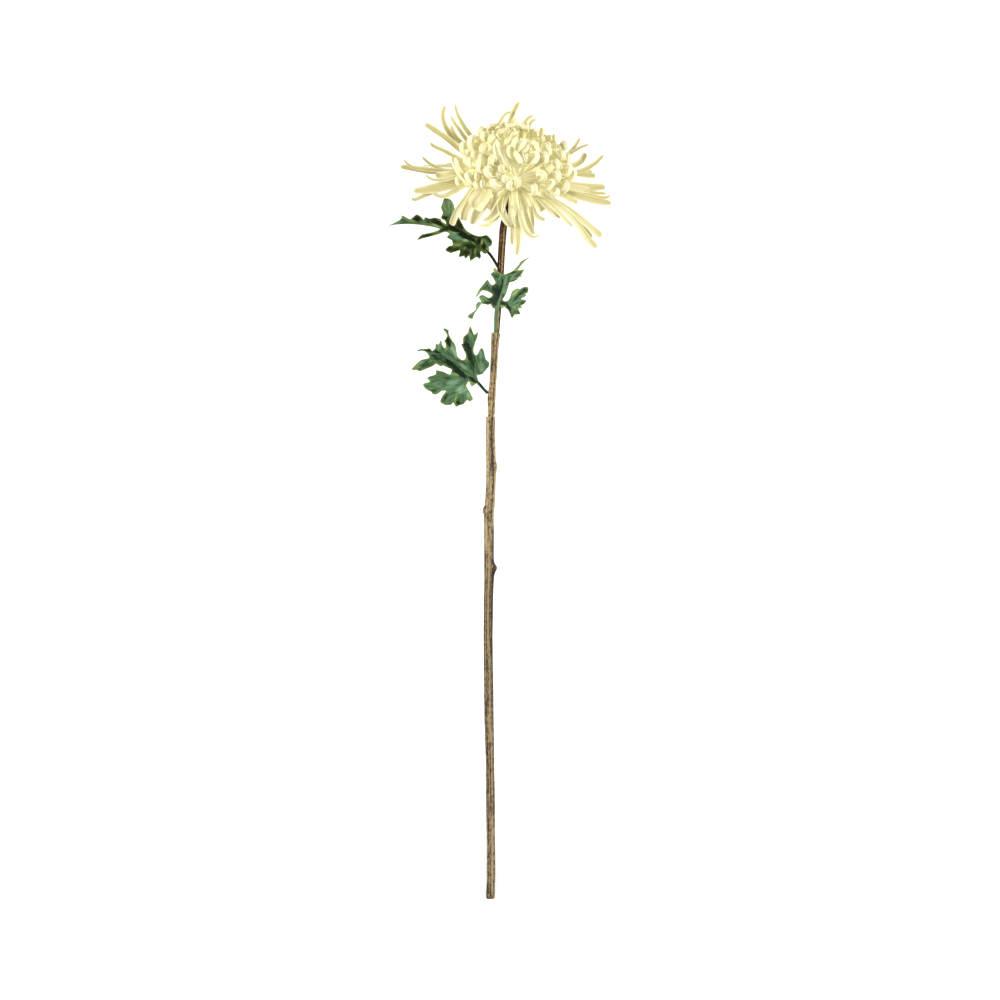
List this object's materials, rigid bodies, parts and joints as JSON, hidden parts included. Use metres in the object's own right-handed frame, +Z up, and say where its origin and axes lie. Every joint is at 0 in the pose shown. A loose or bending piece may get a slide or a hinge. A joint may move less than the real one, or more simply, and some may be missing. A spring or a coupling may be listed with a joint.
{
  "type": "chrysanthemum stem",
  "caption": "Long-stemmed chrysanthemum lying down: one large ivory spider bloom of incurved and trailing florets, lobed green leaves and a woody stem, for a vase, bunch or table.",
  "frame": {"origin": "on the surface that the flower lies on, under the middle of its box", "axes": "+Y along the stem from the cut end to the bloom, +Z up, out of the flower's shown front, +X to the right seen from above with the bloom at the top"},
  "size_m": [0.196, 0.7006, 0.1088],
  "materials": {
    "bark": "matt tan bark with dark lengthwise streaks",
    "dark_bark": "dark brown bark with a golden streak, maroon below the bloom",
    "leaf": "matt green with paler veins and olive edges",
    "calyx": "matt green bracts",
    "petal": "satin ivory, deeper cream between the florets"
  },
  "bodies": {
    "root": {"stem_lower": "bark", "stem_middle": "bark", "stem_upper": "dark_bark", "leaf_lower": "leaf", "leaf_middle": "leaf", "leaf_upper": "leaf", "calyx": "calyx", "bloom": "petal"}
  },
  "joints": []
}
